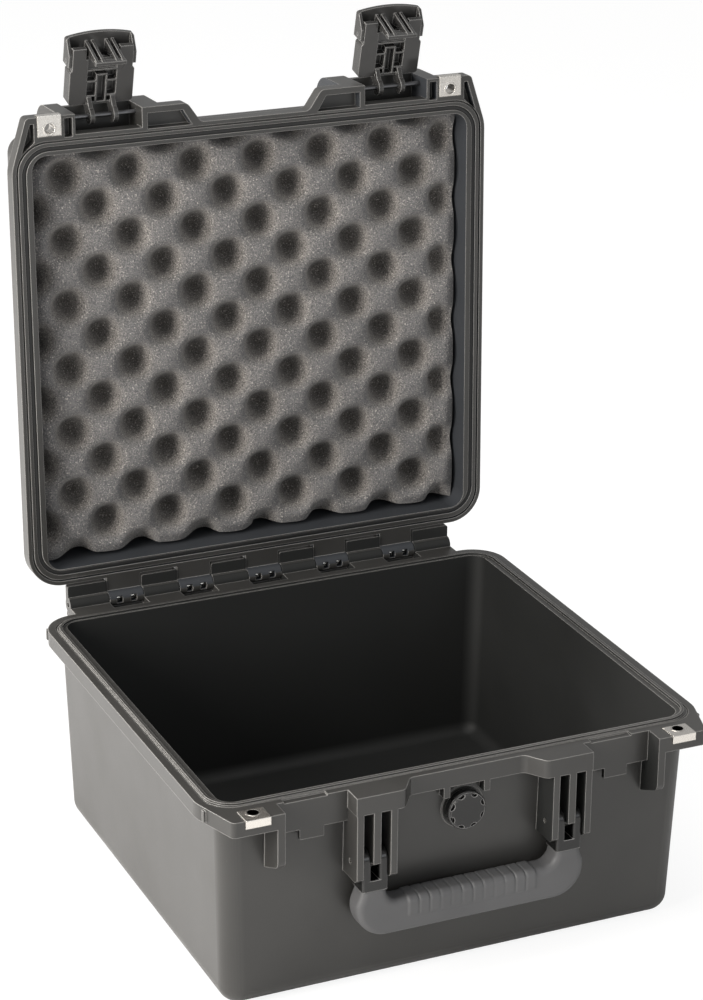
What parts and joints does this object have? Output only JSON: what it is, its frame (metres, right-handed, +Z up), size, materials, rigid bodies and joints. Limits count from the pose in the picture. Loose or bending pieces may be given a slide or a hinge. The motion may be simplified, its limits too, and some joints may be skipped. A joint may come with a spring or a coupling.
{
  "type": "hard equipment case",
  "caption": "Deep square hard equipment case, lid standing open, with foam-lined lid, fold-over latches, steel padlock plates, folding carry handle and pressure valve.",
  "frame": {"origin": "centre of the flat underside, below the middle of the base", "axes": "+X to the right seen from the handle side, +Y from the handle to the hinge, +Z up"},
  "size_m": [0.4, 0.4752, 0.6238],
  "materials": {
    "shell": "smooth satin moulded plastic",
    "hard": "glossy hard moulded plastic",
    "grip": "soft matt overmould",
    "seal": "matt sealing rubber",
    "steel": "bright stainless",
    "foam": "open-cell charcoal foam, convoluted face"
  },
  "bodies": {
    "base": {"base_shell": "shell", "hinge_pin": "steel", "base_plate_left": "steel", "base_plate_right": "steel", "handle_pin_left": "steel", "handle_pin_right": "steel", "valve_gasket": "seal", "valve_body": "hard", "valve_nut": "hard"},
    "lid": {"lid_shell": "shell", "lid_plate_left": "steel", "lid_plate_right": "steel", "lid_seal": "seal", "lid_foam": "foam", "latch_rod_left": "steel", "latch_rod_right": "steel"},
    "handle": {"handle_core": "hard", "handle_grip": "grip"},
    "valve_cap": {"valve_cap": "hard"},
    "latch_left": {"latch_body_left": "shell", "button_pin_left": "steel", "button_spring_left": "steel"},
    "button_left": {"latch_button_left": "shell"},
    "latch_right": {"latch_body_right": "shell", "button_pin_right": "steel", "button_spring_right": "steel"},
    "button_right": {"latch_button_right": "shell"}
  },
  "joints": [
    {"name": "lid_hinge", "type": "hinge", "parent": "base", "child": "lid", "pos_m": [0, 0.20105, 0.166], "axis": [1, 0, 0], "range_deg": [0, 91.65]},
    {"name": "handle_pivot", "type": "hinge", "parent": "base", "child": "handle", "pos_m": [0, -0.18595, 0.1105], "axis": [-1, 0, 0], "range_deg": [0, 95]},
    {"name": "valve_turn", "type": "hinge", "parent": "base", "child": "valve_cap", "pos_m": [0, -0.17895, 0.13], "axis": [0, -1, 0], "range_deg": [0, 90]},
    {"name": "latch_left_fold", "type": "hinge", "parent": "lid", "child": "latch_left", "pos_m": [-0.1215, 0.22736, 0.55841], "axis": [1, 0, 0], "range_deg": [-16, 74]},
    {"name": "button_left_lift", "type": "hinge", "parent": "latch_left", "child": "button_left", "pos_m": [-0.1215, 0.22954, 0.60232], "axis": [-1, 0, 0], "range_deg": [0, 10], "stiffness_Nm_per_rad": 0.4, "springref_deg": -8.59},
    {"name": "latch_right_fold", "type": "hinge", "parent": "lid", "child": "latch_right", "pos_m": [0.1215, 0.22736, 0.55841], "axis": [1, 0, 0], "range_deg": [-16, 74]},
    {"name": "button_right_lift", "type": "hinge", "parent": "latch_right", "child": "button_right", "pos_m": [0.1215, 0.22954, 0.60232], "axis": [-1, 0, 0], "range_deg": [0, 10], "stiffness_Nm_per_rad": 0.4, "springref_deg": -8.59}
  ]
}
